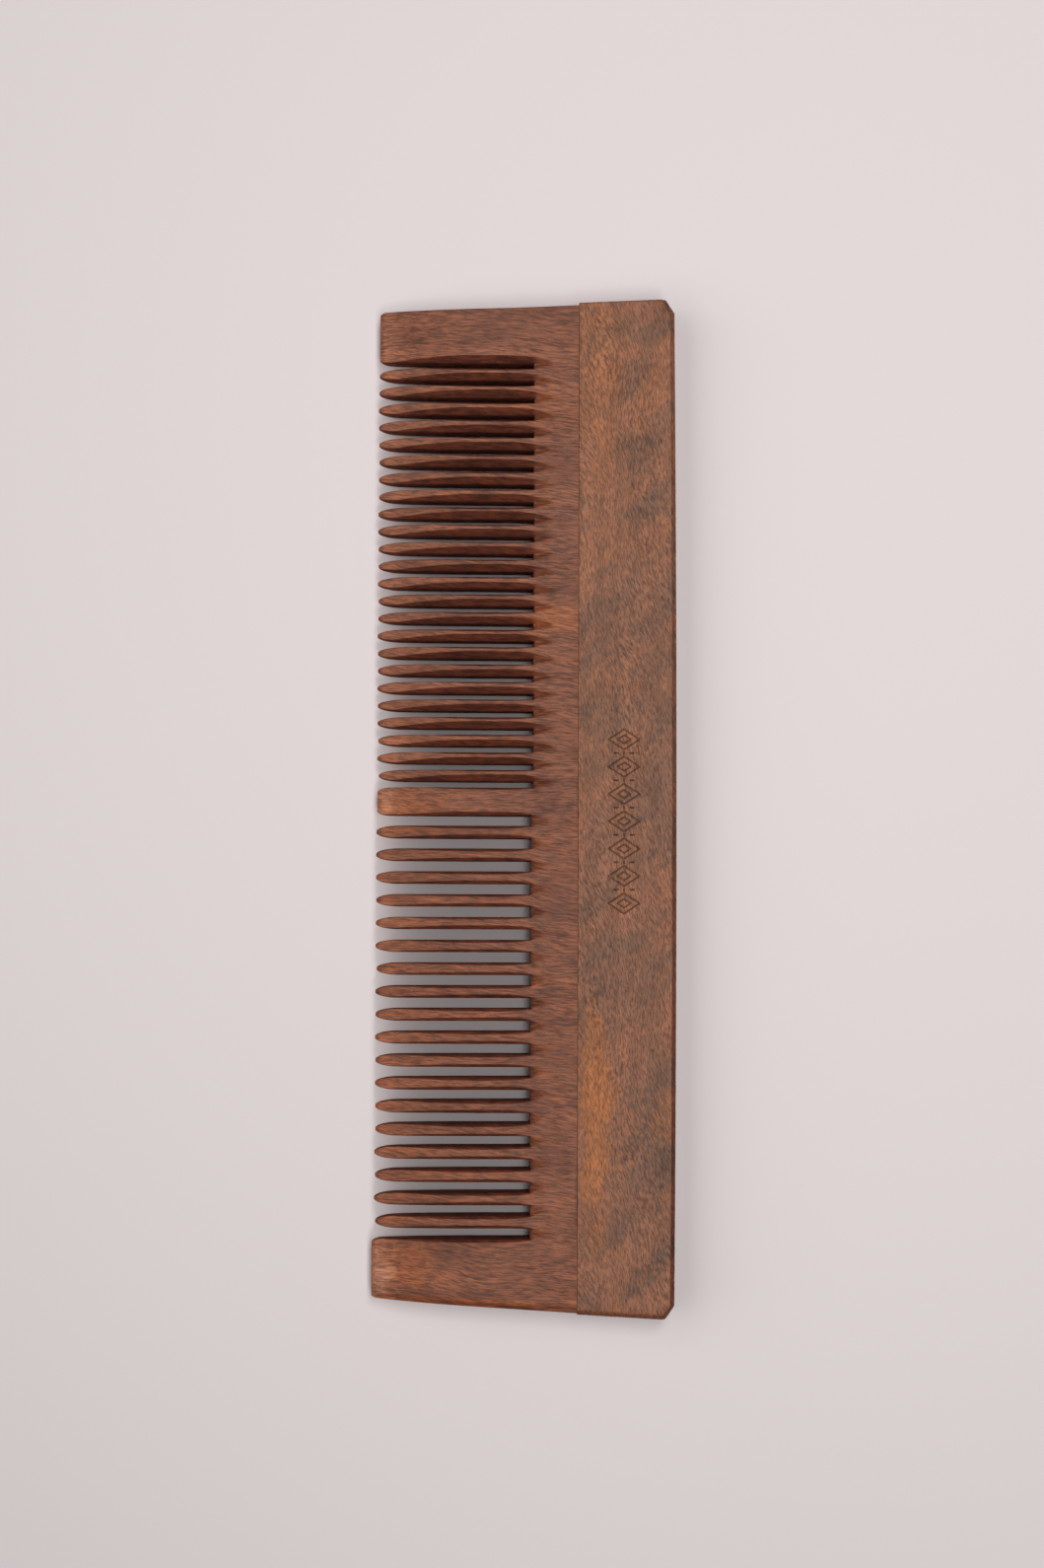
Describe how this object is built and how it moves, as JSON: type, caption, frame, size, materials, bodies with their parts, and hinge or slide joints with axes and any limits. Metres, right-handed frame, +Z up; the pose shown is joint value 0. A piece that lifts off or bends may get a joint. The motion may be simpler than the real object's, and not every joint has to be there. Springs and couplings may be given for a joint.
{
  "type": "hair comb",
  "caption": "Flat wooden hair comb: a glued spine bar carries a tooth board with fine teeth on one half and wide teeth on the other.",
  "frame": {"origin": "middle of the comb's length and width, on the plane its lower face lies on", "axes": "+X along the comb towards its fine teeth, +Y from the spine to the tooth tips, +Z up out of the face"},
  "size_m": [0.1908, 0.0564, 0.0088],
  "materials": {
    "spine_wood": "satin oiled, grain along the comb",
    "board_wood": "satin oiled, grain along the teeth"
  },
  "bodies": {
    "root": {"spine": "spine_wood", "tooth_rail": "board_wood", "fine_end_guard": "board_wood", "fine_tooth_01": "board_wood", "fine_tooth_02": "board_wood", "fine_tooth_03": "board_wood", "fine_tooth_04": "board_wood", "fine_tooth_05": "board_wood", "fine_tooth_06": "board_wood", "fine_tooth_07": "board_wood", "fine_tooth_08": "board_wood", "fine_tooth_09": "board_wood", "fine_tooth_10": "board_wood", "fine_tooth_11": "board_wood", "fine_tooth_12": "board_wood", "fine_tooth_13": "board_wood", "fine_tooth_14": "board_wood", "fine_tooth_15": "board_wood", "fine_tooth_16": "board_wood", "fine_tooth_17": "board_wood", "fine_tooth_18": "board_wood", "fine_tooth_19": "board_wood", "fine_tooth_20": "board_wood", "fine_tooth_21": "board_wood", "fine_tooth_22": "board_wood", "fine_tooth_23": "board_wood", "fine_tooth_24": "board_wood", "divider_tooth": "board_wood", "wide_tooth_01": "board_wood", "wide_tooth_02": "board_wood", "wide_tooth_03": "board_wood", "wide_tooth_04": "board_wood", "wide_tooth_05": "board_wood", "wide_tooth_06": "board_wood", "wide_tooth_07": "board_wood", "wide_tooth_08": "board_wood", "wide_tooth_09": "board_wood", "wide_tooth_10": "board_wood", "wide_tooth_11": "board_wood", "wide_tooth_12": "board_wood", "wide_tooth_13": "board_wood", "wide_tooth_14": "board_wood", "wide_tooth_15": "board_wood", "wide_tooth_16": "board_wood", "wide_tooth_17": "board_wood", "wide_tooth_18": "board_wood", "wide_end_guard": "board_wood"}
  },
  "joints": []
}
